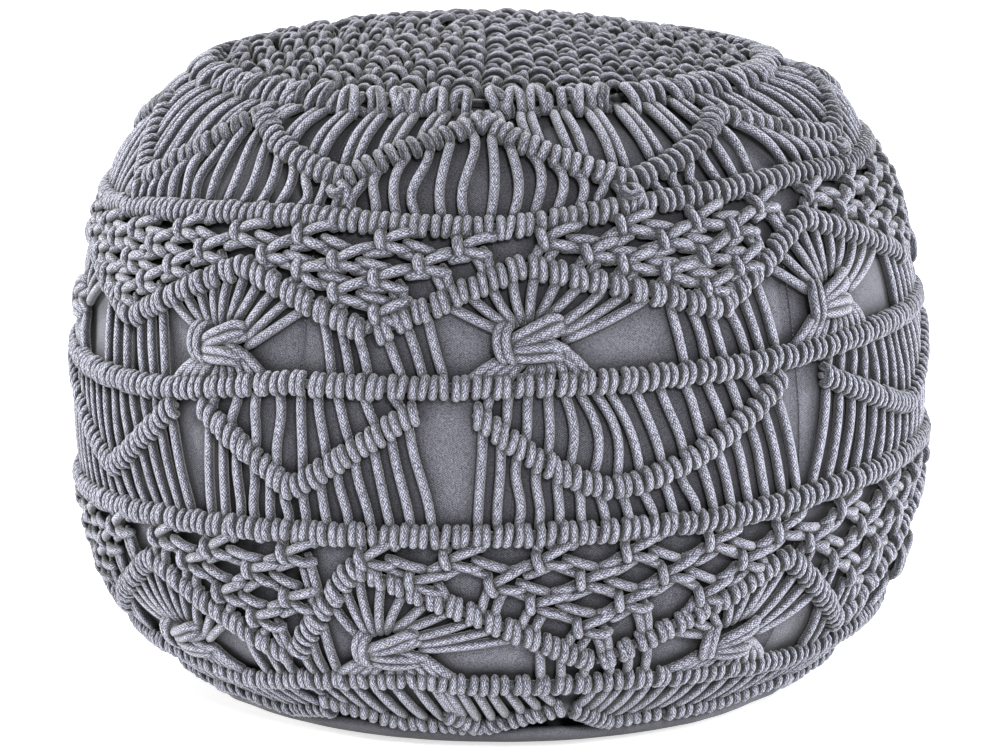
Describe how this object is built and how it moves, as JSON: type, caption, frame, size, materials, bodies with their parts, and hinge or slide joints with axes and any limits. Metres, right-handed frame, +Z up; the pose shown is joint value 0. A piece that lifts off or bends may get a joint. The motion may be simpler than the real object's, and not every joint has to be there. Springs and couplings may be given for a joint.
{
  "type": "macrame pouf",
  "caption": "Round floor pouf: a filled cotton casing under a knotted cord cover with level rings, zigzag arcs, fans of strands and a close-knotted top.",
  "frame": {"origin": "centre of the flat underside, where the pouf rests", "axes": "+Z up through the crown, -Y out of the side that the picture shows, +X to that side's right"},
  "size_m": [0.499, 0.4976, 0.3874],
  "materials": {
    "casing_cloth": "plain-weave grey cotton, matte",
    "base_cloth": "darker plain-weave cotton, matte",
    "cord": "soft knitted cotton cord, matte"
  },
  "bodies": {
    "root": {"casing": "casing_cloth", "base_cloth": "base_cloth", "side_net": "cord", "top_knots": "cord"}
  },
  "joints": []
}
